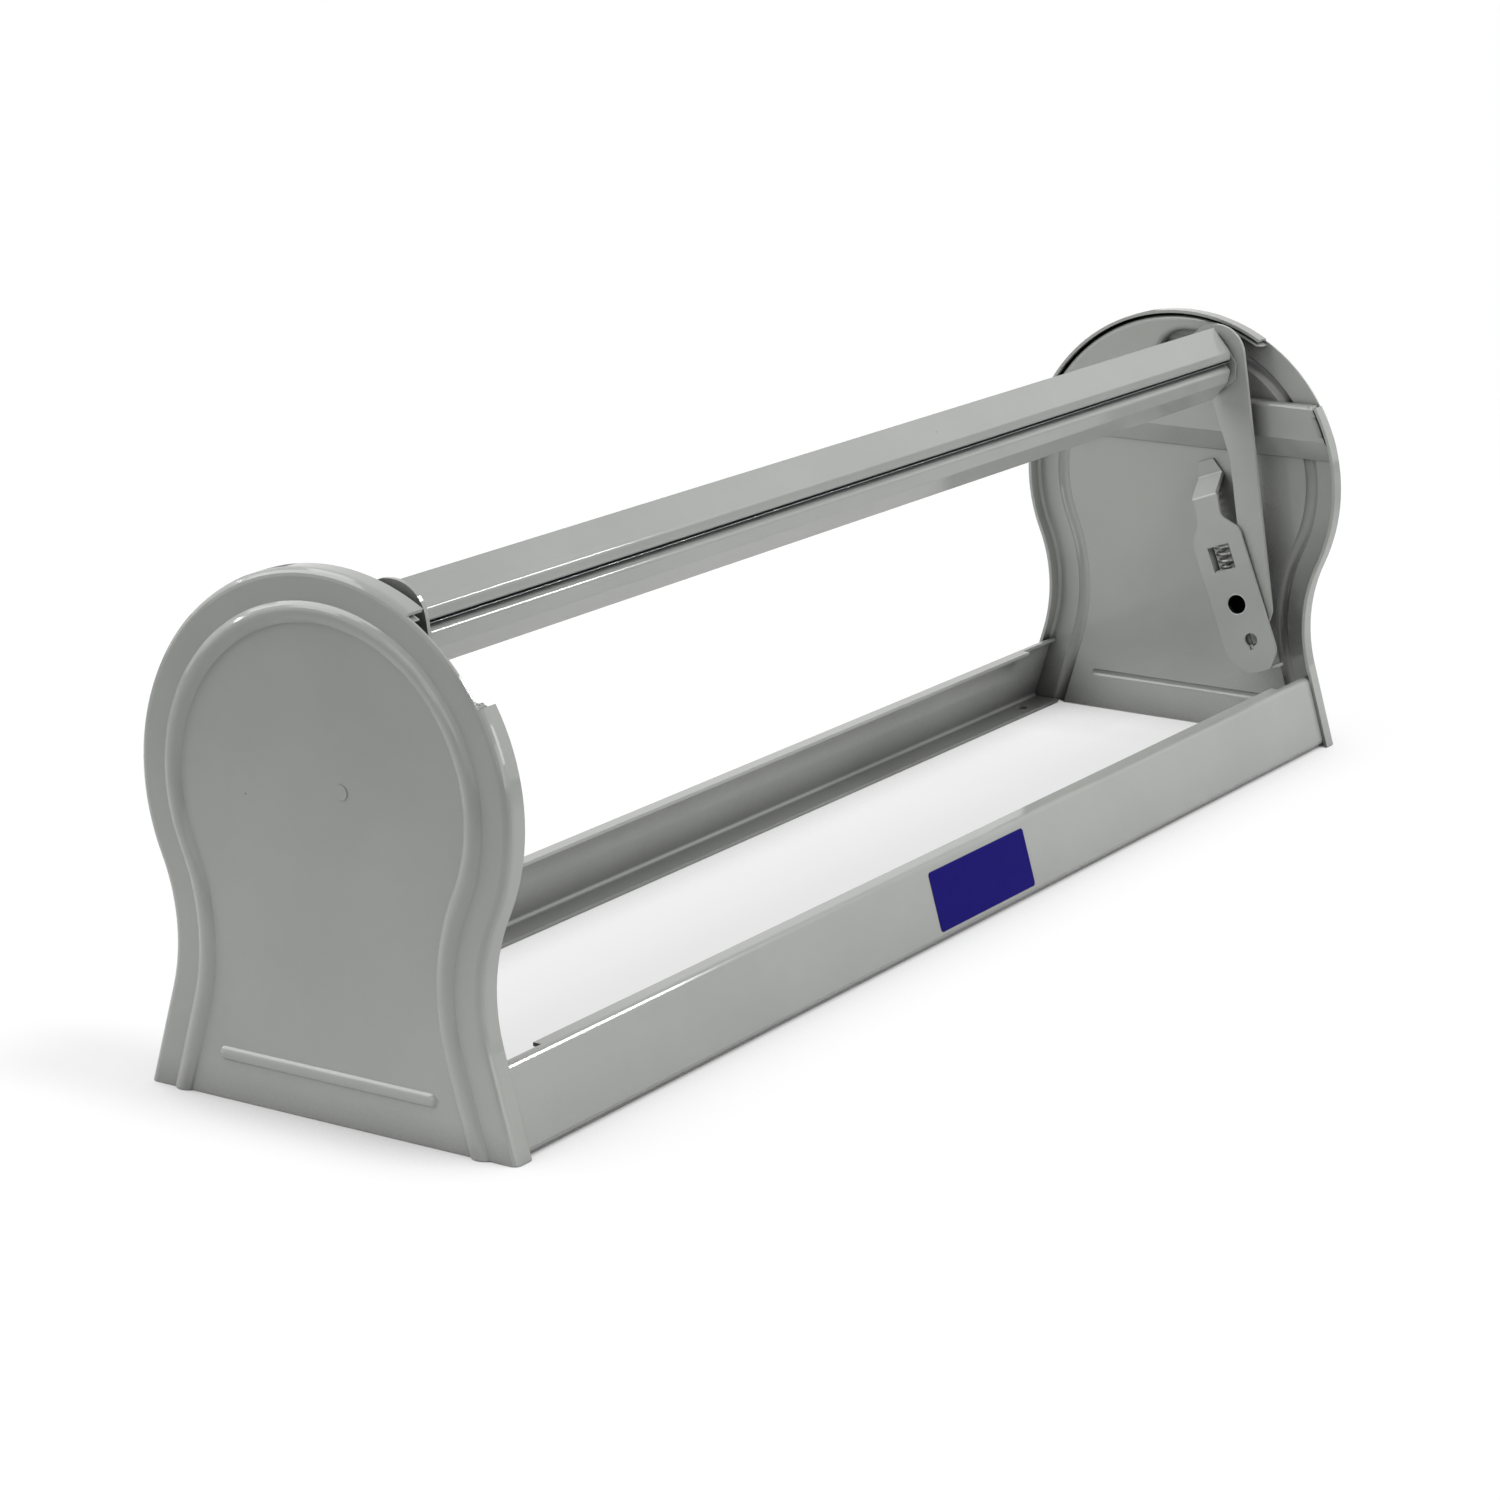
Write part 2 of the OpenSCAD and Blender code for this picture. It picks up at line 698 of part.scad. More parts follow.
// The spring's path: a helix about the bracket's long axis, with a straight stub at each end
spring_rings = coil_turns * curl_rings;
function spring_axis(side) =
    let (foot = from_pivot(spring_t, spring_foot_s))
    [(side == "left" ? -1 : 1) * (half_w - spring_w), foot[0], foot[1]];
along = [0, sin(lean), cos(lean)];
across = [0, cos(lean), -sin(lean)];
sideways = [1, 0, 0];
function outward(angle) = cos(angle) * across + sin(angle) * sideways;
function curl_height(i) =
    wire_d + (spring_top_s - spring_foot_s - 2 * wire_d) * i / spring_rings;
function spring_path(side) =
    let (foot = spring_axis(side), r = coil_d / 2,
         top = foot + outward(360 * coil_turns) * r,
         length = spring_top_s - spring_foot_s)
    concat([foot + outward(0) * r],
           [for (i = [0 : spring_rings])
               foot + outward(360 * i / curl_rings) * r + along * curl_height(i)],
           [top + along * length]);

// A tube round a path: the rings face the mean direction of the two runs that meet there
function ring(p, i, r, n) =
    let (last = len(p) - 1,
         before = unit(p[max(i, 1)] - p[max(i, 1) - 1]),
         after = unit(p[min(i, last - 1) + 1] - p[min(i, last - 1)]),
         dir = unit(before + after),
         angle = 360 * (i - 1) / curl_rings,
         out = outward(i == 0 ? 0 : i == last ? 360 * coil_turns : angle),
         u = unit(out - dir * (out * dir)),
         v = cross(dir, u))
    [for (k = [0 : n - 1]) p[i] + r * (cos(360 * k / n) * u + sin(360 * k / n) * v)];
module tube(p, r, n) {
    last = len(p) - 1;
    points = [for (i = [0 : last]) each ring(p, i, r, n)];
    skin = [for (i = [0 : last - 1], k = [0 : n - 1])
        let (a = i * n + k, b = i * n + (k + 1) % n)
        each [[a, a + n, b], [b, a + n, b + n]]];
    foot = [for (k = [1 : n - 2]) [0, k, k + 1]];
    top = [for (k = [1 : n - 2]) [last * n, last * n + k + 1, last * n + k]];
    polyhedron(points, concat(skin, foot, top));
}

// Least gap between two turns of a spring, measured on the points of its path
function least_gap(p) = min([for (i = [0 : len(p) - 1], j = [i + curl_rings / 2 : len(p) - 1])
    norm(p[i] - p[j])]) - wire_d;

module arm_spring(side) {
    path = spring_path(side);
    echo(str("least gap inside the ", side, " spring, mm: ", least_gap(path)));
    color(bare_steel) tube(path, wire_d / 2, wire_sides);
}

// A plain sticker on the sloped wall of the front rail
label_size = [80.5, 25.8];
label_mid_x = 3.3;
label_z = 4.5;
label_t = 0.3;
module blank_label() {
    color(sticker_blue)
        translate([label_mid_x - label_size[0] / 2, -wall_y(label_z), label_z])
            rotate([-flare, 0, 0])
                translate([0, -label_t, 0])
                    cube([label_size[0], label_t, label_size[1]]);
}

end_plate("left");  // left_end_plate
end_plate("right");  // right_end_plate
shaft_guide("left");  // left_shaft_guide
shaft_guide("right");  // right_shaft_guide
rail(true);  // front_rail
rail(false);  // rear_rail
arm("left");  // left_arm
arm("right");  // right_arm
upper_cutter_bar();
lower_cutter_bar();
cutter_blade();
bar_rivets();
bar_clip("left");  // left_bar_clip
bar_clip("right");  // right_bar_clip
pivot_bracket("left");  // left_pivot_bracket
pivot_bracket("right");  // right_pivot_bracket
pivot_tube("left");  // left_pivot_tube
pivot_tube("right");  // right_pivot_tube
pivot_washers();
arm_spring("left");  // left_arm_spring
arm_spring("right");  // right_arm_spring
blank_label();
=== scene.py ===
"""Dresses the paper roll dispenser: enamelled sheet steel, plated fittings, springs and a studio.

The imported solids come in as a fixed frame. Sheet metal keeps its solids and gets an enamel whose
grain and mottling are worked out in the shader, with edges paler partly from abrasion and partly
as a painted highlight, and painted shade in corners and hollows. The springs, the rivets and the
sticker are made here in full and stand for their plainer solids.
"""

from __future__ import annotations

import logging
import math
from dataclasses import dataclass
from enum import Enum
from typing import Any, Iterable, Sequence

import bmesh
import bpy
from mathutils import Matrix, Vector


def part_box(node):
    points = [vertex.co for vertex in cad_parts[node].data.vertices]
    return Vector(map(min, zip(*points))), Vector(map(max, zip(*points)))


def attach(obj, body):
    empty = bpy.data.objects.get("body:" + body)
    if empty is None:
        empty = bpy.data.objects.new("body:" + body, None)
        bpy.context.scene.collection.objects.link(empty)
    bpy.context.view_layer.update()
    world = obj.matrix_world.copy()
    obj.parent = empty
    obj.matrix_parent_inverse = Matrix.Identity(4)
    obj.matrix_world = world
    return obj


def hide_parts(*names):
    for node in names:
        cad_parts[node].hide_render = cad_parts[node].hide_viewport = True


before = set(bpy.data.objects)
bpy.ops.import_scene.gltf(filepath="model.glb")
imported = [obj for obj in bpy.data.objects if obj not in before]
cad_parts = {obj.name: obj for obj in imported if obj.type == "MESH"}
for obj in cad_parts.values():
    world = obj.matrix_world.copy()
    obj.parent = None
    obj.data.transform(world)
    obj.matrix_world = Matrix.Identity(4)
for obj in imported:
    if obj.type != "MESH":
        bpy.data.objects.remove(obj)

LOG = logging.getLogger("dispenser")
MM = 0.001
RAYS = 4
Colour = tuple[float, float, float]
Number = int | float
WHITE: Colour = (1.0, 1.0, 1.0)
BLACK: Colour = (0.0, 0.0, 0.0)


class Body(Enum):
    """The two bodies that pieces ride on."""

    STAND = "stand"
    CUTTER = "cutter"


class Slot(Enum):
    """The material slots of the record."""

    ENAMEL = "grey_enamel"
    PLATED = "plated_steel"
    SPRING = "spring_steel"
    BLADE = "blade_steel"
    LABEL = "label_film"


class Side(Enum):
    """The two ends of the stand, with the sign of their X."""

    LEFT = -1
    RIGHT = 1

    @property
    def word(self) -> str:
        """The side's name as the nodes spell it."""
        return self.name.lower()


def srgb(red: Number, green: Number, blue: Number) -> Colour:
    """Turns a colour read off a screen into the linear values that the shader takes.

    Args:
        red: Red, from 0 to 255.
        green: Green, from 0 to 255.
        blue: Blue, from 0 to 255.

    Returns:
        The linear colour.
    """

    def linear(level: float) -> float:
        """One channel from its 0 to 1 screen level."""
        return level / 12.92 if level <= 0.04045 else ((level + 0.055) / 1.055) ** 2.4

    return linear(red / 255), linear(green / 255), linear(blue / 255)


class Wire:
    """A value on its way through a node tree. Arithmetic on it adds Math nodes."""

    def __init__(self, tree: "Tree", socket: bpy.types.NodeSocket) -> None:
        """Wraps an output socket of a tree."""
        self.tree = tree
        self.socket = socket

    def _math(self, operation: str, first: Any, second: Any = 0.0) -> "Wire":
        """Adds one Math node and returns its result."""
        return self.tree.add("ShaderNodeMath", {"operation": operation}, {0: first, 1: second})

    def __add__(self, other: Any) -> "Wire":
        """self + other."""
        return self._math("ADD", self, other)

    def __radd__(self, other: Any) -> "Wire":
        """other + self."""
        return self._math("ADD", other, self)

    def __sub__(self, other: Any) -> "Wire":
        """self - other."""
        return self._math("SUBTRACT", self, other)

    def __rsub__(self, other: Any) -> "Wire":
        """other - self."""
        return self._math("SUBTRACT", other, self)

    def __mul__(self, other: Any) -> "Wire":
        """self * other."""
        return self._math("MULTIPLY", self, other)

    def __rmul__(self, other: Any) -> "Wire":
        """other * self."""
        return self._math("MULTIPLY", other, self)

    def __pow__(self, other: Any) -> "Wire":
        """self to the power of other."""
        return self._math("POWER", self, other)

    def size(self) -> "Wire":
        """The value without its sign."""
        return self._math("ABSOLUTE", self)

    def below(self, limit: Any) -> "Wire":
        """1 where the value is less than the limit, else 0."""
        return self._math("LESS_THAN", self, limit)

    def eased(self, low: Number, high: Number) -> "Wire":
        """Maps low to 0 and high to 1 with a smooth step between.

        Args:
            low: The value that becomes 0.
            high: The value that becomes 1.

        Returns:
            The mapped value, held between 0 and 1.
        """
        return self.tree.add(
            "ShaderNodeMapRange",
            {"interpolation_type": "SMOOTHSTEP"},
            {"Value": self, "From Min": low, "From Max": high},
        )


class Tree:
    """A node tree that is filled by one method."""

    def __init__(self, nodes: bpy.types.NodeTree) -> None:
        """Wraps a tree and empties it."""
        self.nodes = nodes
        self.nodes.nodes.clear()

    def feed(self, socket: bpy.types.NodeSocket, value: Any) -> None:
        """Links a wire to a socket, or sets the socket's own value.

        Args:
            socket: The input.
            value: A wire, or a plain value. A colour of three numbers gets an alpha of 1.
        """
        if isinstance(value, Wire):
            self.nodes.links.new(value.socket, socket)
        elif socket.type == "RGBA" and len(value) == 3:
            socket.default_value = (*value, 1.0)
        else:
            socket.default_value = value

    def add(
        self,
        kind: str,
        settings: dict[str, Any] | None = None,
        sockets: dict[str | int, Any] | None = None,
        output: str | int = 0,
    ) -> Wire:
        """Adds a node.

        Args:
            kind: The node's type.
            settings: Its settings, which are set before its sockets are looked at.
            sockets: Values or wires for its inputs, by name or index.
            output: The output that is wanted.

        Returns:
            The wanted output. The node itself is at .socket.node.
        """
        node = self.nodes.nodes.new(kind)
        for key, value in (settings or {}).items():
            setattr(node, key, value)
        for key, value in (sockets or {}).items():
            self.feed(node.inputs[key], value)
        return Wire(self, node.outputs[output]) if node.outputs else Wire(self, node.inputs[0])

    def noise(self, where: Wire, scale: Number, detail: Number = 2, rough: Number = 0.5) -> Wire:
        """Noise with a value from 0 to 1.

        Args:
            where: The coordinates.
            scale: Cells per metre.
            detail: Octaves.
            rough: How much the finer octaves count.

        Returns:
            The noise.
        """
        return self.add(
            "ShaderNodeTexNoise",
            {"noise_dimensions": "3D"},
            {"Vector": where, "Scale": scale, "Detail": detail, "Roughness": rough},
        )

    def tint(self, factor: Any, first: Any, second: Any) -> Wire:
        """A colour between two.

        Args:
            factor: 0 for the first colour, 1 for the second.
            first: The first colour.
            second: The second colour.

        Returns:
            The mixed colour.
        """
        return self.add(
            "ShaderNodeMix", {"data_type": "RGBA"}, {0: factor, 6: first, 7: second}, output=2
        )

    def stretched(self, where: Wire, along: Sequence[Number]) -> Wire:
        """Coordinates scaled along each axis."""
        return self.add(
            "ShaderNodeMapping", {"vector_type": "POINT"}, {"Vector": where, "Scale": along}
        )

    def edge_normal(self, radius: float) -> Wire:
        """The surface's normal with its sharp edges rounded.

        Args:
            radius: Radius of the rounding in metres.

        Returns:
            The normal.
        """
        return self.add("ShaderNodeBevel", {"samples": RAYS}, {"Radius": radius})

    def hidden_share(self, reach: float) -> Wire:
        """The share of directions in which another surface is near.

        Args:
            reach: How far away a surface still counts, in metres.

        Returns:
            The share, from 0 in the open to 1 in a closed hollow.
        """
        return 1 - self.add(
            "ShaderNodeAmbientOcclusion", {"samples": RAYS}, {"Distance": reach}, output="AO"
        )

    def hollow_mask(self, hollow: "Hollow") -> Wire:
        """1 deep in a hollow, where light seldom comes and the painted shade goes, else 0."""
        return self.hidden_share(hollow.reach).eased(hollow.low, hollow.high)

    def edge_mask(self, rounded: Wire) -> Wire:
        """1 on an outer edge, where the rounded normal leaves the flat one, else 0.

        Args:
            rounded: The normal with its edges rounded.

        Returns:
            The mask.
        """
        flat = self.add("ShaderNodeNewGeometry", output="Normal")
        facing = self.add(
            "ShaderNodeVectorMath",
            {"operation": "DOT_PRODUCT"},
            {0: rounded, 1: flat},
            output="Value",
        )
        return (1 - facing).eased(0.01, 0.3)


@dataclass(frozen=True)
class Hollow:
    """A kind of hollow: its reach in metres, and the hidden shares between which painted shade
    darkens it.
    """

    reach: float
    low: float
    high: float


def new_material(name: str, colour: Colour) -> tuple[bpy.types.Material, Tree]:
    """Makes an empty node material.

    Args:
        name: Its name.
        colour: The colour that the viewport shows.

    Returns:
        The material and its tree.
    """
    material = bpy.data.materials.new(name)
    material.use_nodes = True
    material.diffuse_color = (*colour, 1.0)
    return material, Tree(material.node_tree)


def close_material(tree: Tree, shader: Wire) -> None:
    """Ends a material's tree with its output."""
    tree.add("ShaderNodeOutputMaterial", sockets={"Surface": shader})


@dataclass(frozen=True)
class Enamel:
    """Stoved grey enamel on sheet steel: glossy, with orange peel, few specks, edges paler partly
    from abrasion and partly as a painted highlight, and painted shade in corners and hollows.
    """

    name: str = "grey_stoved_enamel"
    colour: Colour = srgb(164, 166, 162)
    shade: Colour = srgb(159, 161, 158)
    speck: Colour = srgb(96, 97, 95)
    # Paler edge colour: partly abrasion, partly painted highlight.
    worn: Colour = srgb(186, 188, 184)
    # Near-black painted shade for corners and hollows.
    dust: Colour = srgb(26, 26, 28)
    roughness: float = 0.4
    edge: float = 0.5 * MM
    cloud_scale: float = 14
    speck_scale: float = 90
    speck_r: float = 0.055
    speck_share: float = 0.035
    wear_scale: float = 160
    peel_scale: float = 420
    grain_scale: float = 2400
    peel_depth: float = 0.025 * MM
    # The two hollows and the cover below set where and how strongly painted shade darkens the
    # enamel.
    corner: Hollow = Hollow(30 * MM, 0.42, 0.78)
    bay: Hollow = Hollow(90 * MM, 0.71, 0.92)
    dust_cover: float = 0.95

    def build(self) -> bpy.types.Material:
        """Makes the material.

        Returns:
            The enamel.
        """
        material, tree = new_material(self.name, self.colour)
        where = tree.add("ShaderNodeTexCoord", output="Object")
        rounded = tree.edge_normal(self.edge)
        edge = tree.edge_mask(rounded)
        cloud = tree.noise(where, self.cloud_scale, 4, 0.6)
        cells = tree.add("ShaderNodeTexVoronoi", {"feature": "F1"}, {
            "Vector": where, "Scale": self.speck_scale})
        lot = tree.add("ShaderNodeTexWhiteNoise", {"noise_dimensions": "3D"}, {
            "Vector": Wire(tree, cells.socket.node.outputs["Color"])})
        speck = cells.below(self.speck_r) * lot.below(self.speck_share)
        base = tree.tint(cloud.eased(0.3, 0.7), self.shade, self.colour)
        base = tree.tint(speck * 0.7, base, self.speck)
        # Paler edges: partly abrasion, partly a painted highlight along the rounded edges.
        wear_and_highlight = edge * (0.25 + 0.4 * tree.noise(where, self.wear_scale, 3))
        base = tree.tint(wear_and_highlight, base, self.worn)
        # Painted shade: the base goes near-black in corners and deep bays.
        for hollow in (self.corner, self.bay):
            base = tree.tint(self.dust_cover * tree.hollow_mask(hollow), base, self.dust)
        peel = tree.noise(where, self.peel_scale, 2, 0.45)
        grain = tree.noise(where, self.grain_scale, 2, 0.6)
        bump = tree.add("ShaderNodeBump", {}, {
            "Strength": 0.5, "Distance": self.peel_depth,
            "Height": peel + 0.22 * grain - 0.8 * speck, "Normal": rounded})
        rough = self.roughness + 0.1 * tree.noise(where, 45, 3) + 0.07 * grain + 0.06 * edge
        shader = tree.add("ShaderNodeBsdfPrincipled", {}, {
            "Base Color": base, "Roughness": rough, "Normal": bump, "IOR": 1.5,
            "Specular IOR Level": 0.35, "Coat Weight": 0.9, "Coat Roughness": 0.08})
        close_material(tree, shader)
        return material


@dataclass(frozen=True)
class Metal:
    """Bare or plated steel, brushed along one axis."""

    name: str
    colour: Colour
    tarnish: Colour
    roughness: float
    brush: tuple[float, float, float]
    depth: float = 0.01 * MM
    edge: float = 0.2 * MM
    # Near-black painted shade for hollows, at the reach and shares of the hollow setting below.
    grime: Colour = srgb(14, 14, 15)
    hollow: Hollow = Hollow(16 * MM, 0.5, 0.76)
    patch_scale: float = 120
    edge_gain: float = 1.25

    def build(self) -> bpy.types.Material:
        """Makes the material.

        Returns:
            The metal.
        """
        material, tree = new_material(self.name, self.colour)
        where = tree.add("ShaderNodeTexCoord", output="Object")
        rounded = tree.edge_normal(self.edge)
        edge = tree.edge_mask(rounded)
        lines = tree.noise(tree.stretched(where, self.brush), 1, 3, 0.65)
        patch = tree.noise(where, self.patch_scale, 4, 0.6).eased(0.42, 0.72)
        base = tree.tint(patch * 0.7, self.colour, self.tarnish)
        bright = tuple(min(1.0, level * self.edge_gain) for level in self.colour)
        base = tree.tint(edge * 0.5, base, bright)
        # Painted shade: the metal goes near-black where the hollow mask is high.
        base = tree.tint(tree.hollow_mask(self.hollow), base, self.grime)
        bump = tree.add("ShaderNodeBump", {}, {
            "Strength": 0.6, "Distance": self.depth, "Height": lines, "Normal": rounded})
        rough = self.roughness + 0.16 * lines + 0.12 * patch - 0.05 * edge
        shader = tree.add("ShaderNodeBsdfPrincipled", {}, {
            "Base Color": base, "Roughness": rough, "Normal": bump, "Metallic": 1.0})
        close_material(tree, shader)
        return material


@dataclass(frozen=True)
class Film:
    """Printed polyester film: a deep even colour with a soft gloss and a paler cut edge."""

    name: str = "blue_label_film"
    colour: Colour = srgb(15, 4, 105)
    faded: Colour = srgb(21, 11, 110)
    cut: Colour = srgb(96, 94, 150)
    edge: float = 0.12 * MM
    cloud_scale: float = 60
    weave_scale: float = 1500
    depth: float = 0.03 * MM

    def build(self) -> bpy.types.Material:
        """Makes the material.

        Returns:
            The film.
        """
        material, tree = new_material(self.name, self.colour)
        where = tree.add("ShaderNodeTexCoord", output="Object")
        rounded = tree.edge_normal(self.edge)
        edge = tree.edge_mask(rounded)
        cloud = tree.noise(where, self.cloud_scale, 4, 0.6)
        weave = tree.noise(where, self.weave_scale, 2, 0.6)
        base = tree.tint(cloud.eased(0.35, 0.8), self.colour, self.faded)
        base = tree.tint(edge * 0.6, base, self.cut)
        bump = tree.add("ShaderNodeBump", {}, {
            "Strength": 0.3, "Distance": self.depth, "Height": cloud + 0.3 * weave,
            "Normal": rounded})
        shader = tree.add("ShaderNodeBsdfPrincipled", {}, {
            "Base Color": base, "Roughness": 0.34 + 0.15 * cloud, "Normal": bump,
            "Specular IOR Level": 0.05})
        close_material(tree, shader)
        return material


class Paintbox:
    """Every finish of the dispenser, made once."""

    def __init__(self) -> None:
        """Builds the materials."""
        self.finish: dict[Slot, bpy.types.Material] = {
            Slot.ENAMEL: Enamel().build(),
            Slot.PLATED: Metal("zinc_plated_steel", srgb(196, 198, 200), srgb(150, 152, 156),
                               0.26, (900, 900, 2600)).build(),
            # The spring's hollow setting paints shade on the back turns of its coil.
            Slot.SPRING: Metal("spring_wire", srgb(200, 201, 199), srgb(160, 161, 162),
                               0.34, (3000, 500, 500),
                               hollow=Hollow(16 * MM, 0.68, 0.86)).build(),
            Slot.BLADE: Metal("ground_blade_steel", srgb(188, 190, 193), srgb(142, 145, 150),
                              0.22, (60, 4200, 4200)).build(),
            Slot.LABEL: Film().build(),
        }

    def dress(self, names: Iterable[str], slot: Slot) -> None:
        """Gives solids of the frame a finish.

        Args:
            names: The nodes.
            slot: The slot whose finish they take.
        """
        for name in names:
            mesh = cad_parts[name].data
            mesh.materials.clear()
            mesh.materials.append(self.finish[slot])
            LOG.info("dressed %s in %s", name, slot.value)


class GeometryTree(Tree):
    """A Geometry Nodes group with named inputs, and the way to turn it into a plain mesh."""

    def __init__(self, name: str) -> None:
        """Makes the group with its geometry sockets.

        Args:
            name: The group's name.
        """
        group = bpy.data.node_groups.new(name, "GeometryNodeTree")
        super().__init__(group)
        self.group = group
        group.interface.new_socket("Geometry", in_out="INPUT", socket_type="NodeSocketGeometry")
        group.interface.new_socket("Geometry", in_out="OUTPUT", socket_type="NodeSocketGeometry")
        self.entry = group.nodes.new("NodeGroupInput")

    def size(self, name: str, kind: str = "NodeSocketFloat") -> Wire:
        """Adds a named input.

        Args:
            name: The input's name.
            kind: Its socket type.

        Returns:
            The input inside the tree.
        """
        self.group.interface.new_socket(name, in_out="INPUT", socket_type=kind)
        return Wire(self, self.entry.outputs[name])

    def given(self) -> Wire:
        """The geometry of the object that carries the modifier."""
        return Wire(self, self.entry.outputs["Geometry"])

    def close(self, geometry: Wire) -> None:
        """Realizes instances, gives the result its material and ends the tree.

        Args:
            geometry: What the tree has made.
        """
        material = self.size("Material", "NodeSocketMaterial")
        real = self.add("GeometryNodeRealizeInstances", sockets={"Geometry": geometry})
        dressed = self.add("GeometryNodeSetMaterial", sockets={"Geometry": real})
        self.feed(dressed.socket.node.inputs["Material"], material)
        end = self.group.nodes.new("NodeGroupOutput")
        self.feed(end.inputs["Geometry"], dressed)

    def run(self, name: str, data: bpy.types.ID, values: dict[str, Any]) -> bpy.types.Object:
        """Runs the tree on some data and keeps what comes out as a plain mesh.

        Args:
            name: Name of the new piece.
            data: The mesh or curve that the tree starts from.
            values: A value for each named input.

        Returns:
            The piece, at the origin, with no modifier.
        """
        carrier = bpy.data.objects.new(name + "_carrier", data)
        bpy.context.scene.collection.objects.link(carrier)
        modifier = carrier.modifiers.new("tree", "NODES")
        modifier.node_group = self.group
        for item in self.group.interface.items_tree:
            if item.item_type == "SOCKET" and item.in_out == "INPUT" and item.name in values:
                modifier[item.identifier] = values[item.name]
        carrier.update_tag()
        graph = bpy.context.evaluated_depsgraph_get()
        mesh = bpy.data.meshes.new_from_object(carrier.evaluated_get(graph), depsgraph=graph)
        mesh.name = name
        piece = bpy.data.objects.new(name, mesh)
        bpy.context.scene.collection.objects.link(piece)
        carrier.modifiers.remove(modifier)
        bpy.data.objects.remove(carrier)
        return piece


def settle(piece: bpy.types.Object, body: Body, slot: Slot, *nodes: str) -> None:
    """Puts a finished piece on its body and lets it stand for its solids.

    Args:
        piece: The piece, with its place in its mesh.
        body: The body that it rides on.
        slot: The slot of its finish. Not used.
        nodes: The solids that it stands for.
    """
    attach(piece, body.value)
    if nodes:
        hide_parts(*nodes)
    LOG.info("made %s, %d faces, on %s", piece.name, len(piece.data.polygons), body.value)


@dataclass
class PivotAxes:
    """The axes of a pivot bracket: t across it, s along it, and w in from the plate's outside."""

    side: Side
    half_width: float = 344.2
    pivot_y: float = 39.3
    pivot_z: float = 68.3
    lean: float = 21.0

    def at(self, t: float, s: float, w: float) -> Vector:
        """A point in metres.

        Args:
            t: Distance rearward across the bracket, in millimetres.
            s: Distance up along the bracket.
            w: Distance in from the outside of the plate.

        Returns:
            The point in the shared frame.
        """
        turn = math.radians(self.lean)
        return MM * Vector((
            self.side.value * (self.half_width - w),
            -self.pivot_y + t * math.cos(turn) + s * math.sin(turn),
            self.pivot_z - t * math.sin(turn) + s * math.cos(turn)))


@dataclass
class ArmSpring:
    """A close-wound tension spring with its wire led in to the middle at both ends."""

    axes: PivotAxes
    paint: Paintbox
    middle_t: float = 3.1
    middle_w: float = 11.0
    foot_s: float = 16.7
    top_s: float = 57.2
    coil_r: float = 3.4
    wire_r: float = 0.9
    turns: int = 10
    steps: int = 28
    sides: int = 14
    stub: float = 2.4
    lead_rise: float = 1.6
    lead_power: float = 0.7

    def path(self) -> list[Vector]:
        """Points of the wire: a stub, the coil with half a turn that closes in, and a stub.

        Returns:
            The points, in metres.
        """
        points: list[Vector] = []
        low = self.foot_s + self.stub
        high = self.top_s - self.stub
        count = self.turns * self.steps
        lead = self.steps // 2
        for i in range(-lead, count + lead + 1):
            inside = min(max(i, 0), count)
            over = (inside - i if i < 0 else i - inside) / lead
            closing = math.cos(over * math.pi / 2) if over < 1 else 0.0
            radius = self.coil_r * closing ** self.lead_power
            angle = 2 * math.pi * i / self.steps
            climb = low + (high - low) * inside / count
            climb += (-1 if i < 0 else 1) * over * over * self.lead_rise
            points.append(self.axes.at(self.middle_t + radius * math.cos(angle), climb,
                                       self.middle_w - radius * math.sin(angle)))
        first = self.axes.at(self.middle_t, self.foot_s, self.middle_w)
        last = self.axes.at(self.middle_t, self.top_s, self.middle_w)
        return [first, *points, last]

    @staticmethod
    def tree() -> GeometryTree:
        """The group that draws a round wire along a curve.

        Returns:
            The group.
        """
        tree = GeometryTree("wire_on_path")
        radius = tree.size("Wire radius")
        sides = tree.size("Sides", "NodeSocketInt")
        profile = tree.add("GeometryNodeCurvePrimitiveCircle", {"mode": "RADIUS"}, {
            "Resolution": sides, "Radius": radius})
        tube = tree.add("GeometryNodeCurveToMesh", {}, {
            "Curve": tree.given(), "Profile Curve": profile, "Fill Caps": True})
        smooth = tree.add("GeometryNodeSetShadeSmooth", {}, {"Geometry": tube})
        tree.close(smooth)
        return tree

    def build(self) -> bpy.types.Object:
        """Makes the spring and lets it stand for its solid.

        Returns:
            The spring.
        """
        name = f"{self.axes.side.word}_arm_spring"
        curve = bpy.data.curves.new(name + "_path", "CURVE")
        curve.dimensions = "3D"
        points = self.path()
        spline = curve.splines.new("POLY")
        spline.points.add(len(points) - 1)
        for spot, point in zip(spline.points, points):
            spot.co = (*point, 1.0)
        piece = self.tree().run(name + "_wire", curve, {
            "Wire radius": self.wire_r * MM, "Sides": self.sides,
            "Material": self.paint.finish[Slot.SPRING]})
        settle(piece, Body.STAND, Slot.SPRING, name)
        return piece


